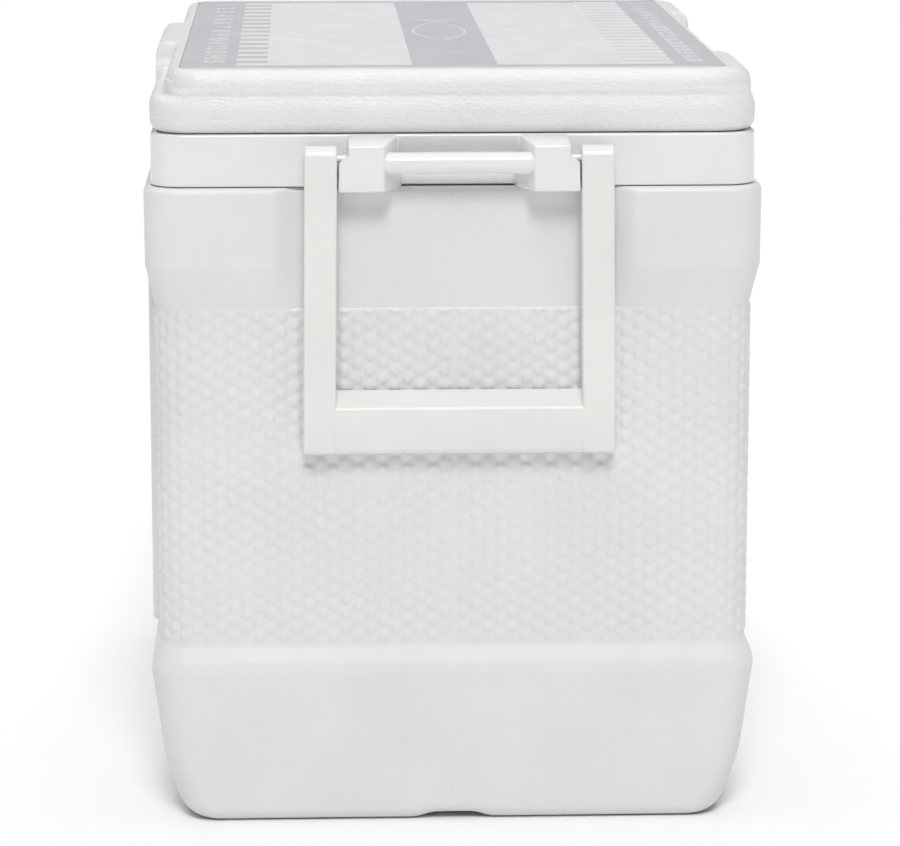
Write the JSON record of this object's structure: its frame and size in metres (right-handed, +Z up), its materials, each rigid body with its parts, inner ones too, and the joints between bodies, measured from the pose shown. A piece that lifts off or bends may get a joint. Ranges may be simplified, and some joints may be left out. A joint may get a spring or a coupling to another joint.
{
  "type": "cooler chest",
  "caption": "Hard-sided cooler chest with a hinged lid, a fish ruler on top, bail handles and tie-down bars at both ends, and a drain cap.",
  "frame": {"origin": "under the middle of the chest, on the surface that it stands on", "axes": "+X along the length towards the right-hand end, -Y is the front, +Y the hinge side, +Z up"},
  "size_m": [0.4816, 0.33, 0.412],
  "materials": {
    "body_plastic": "white moulded polyethylene, satin, with a bump-textured panel",
    "collar_plastic": "white moulded plastic, smooth and glossy",
    "lid_plastic": "white moulded plastic with a fine leather grain",
    "handle_plastic": "warm white moulded plastic, satin",
    "liner_plastic": "white food-grade liner plastic, smooth",
    "foam": "closed-cell polyurethane foam",
    "seal_rubber": "soft grey seal rubber",
    "ruler_print": "grey printed film with white ruler marks",
    "hinge_steel": "stainless steel, lightly brushed"
  },
  "bodies": {
    "chest": {"outer_shell": "body_plastic", "body_insulation": "foam", "inner_liner": "liner_plastic", "rim_collar": "collar_plastic", "hinge_body_leaf_right": "hinge_steel", "hinge_pin_right": "hinge_steel", "body_leaf_screw_right_a": "hinge_steel", "body_leaf_screw_right_b": "hinge_steel", "hinge_body_leaf_left": "hinge_steel", "hinge_pin_left": "hinge_steel", "body_leaf_screw_left_a": "hinge_steel", "body_leaf_screw_left_b": "hinge_steel", "pivot_pin_right_front": "handle_plastic", "pivot_pin_right_back": "handle_plastic", "pivot_pin_left_front": "handle_plastic", "pivot_pin_left_back": "handle_plastic", "drain_spout": "liner_plastic", "drain_nut": "liner_plastic"},
    "lid": {"lid_shell": "lid_plastic", "lid_insulation": "foam", "lid_liner": "liner_plastic", "lid_gasket": "seal_rubber", "ruler_panel": "ruler_print", "hinge_lid_leaf_right": "hinge_steel", "lid_leaf_screw_right_a": "hinge_steel", "lid_leaf_screw_right_b": "hinge_steel", "hinge_lid_leaf_left": "hinge_steel", "lid_leaf_screw_left_a": "hinge_steel", "lid_leaf_screw_left_b": "hinge_steel"},
    "bail_right": {"bail_handle_right": "handle_plastic"},
    "bail_left": {"bail_handle_left": "handle_plastic"},
    "drain_cap_body": {"drain_cap": "handle_plastic", "drain_washer": "seal_rubber"}
  },
  "joints": [
    {"name": "lid_hinge", "type": "hinge", "parent": "chest", "child": "lid", "pos_m": [0, 0.157, 0.388], "axis": [-1, 0, 0], "range_deg": [0, 100]},
    {"name": "bail_right_swing", "type": "hinge", "parent": "chest", "child": "bail_right", "pos_m": [0.2336, 0, 0.3665], "axis": [0, -1, 0], "range_deg": [0, 150]},
    {"name": "bail_left_swing", "type": "hinge", "parent": "chest", "child": "bail_left", "pos_m": [-0.2336, 0, 0.3665], "axis": [0, 1, 0], "range_deg": [0, 150]},
    {"name": "drain_cap_turn", "type": "hinge", "parent": "chest", "child": "drain_cap_body", "pos_m": [-0.23, 0, 0.072], "axis": [-1, 0, 0], "range_deg": [0, 270]}
  ]
}
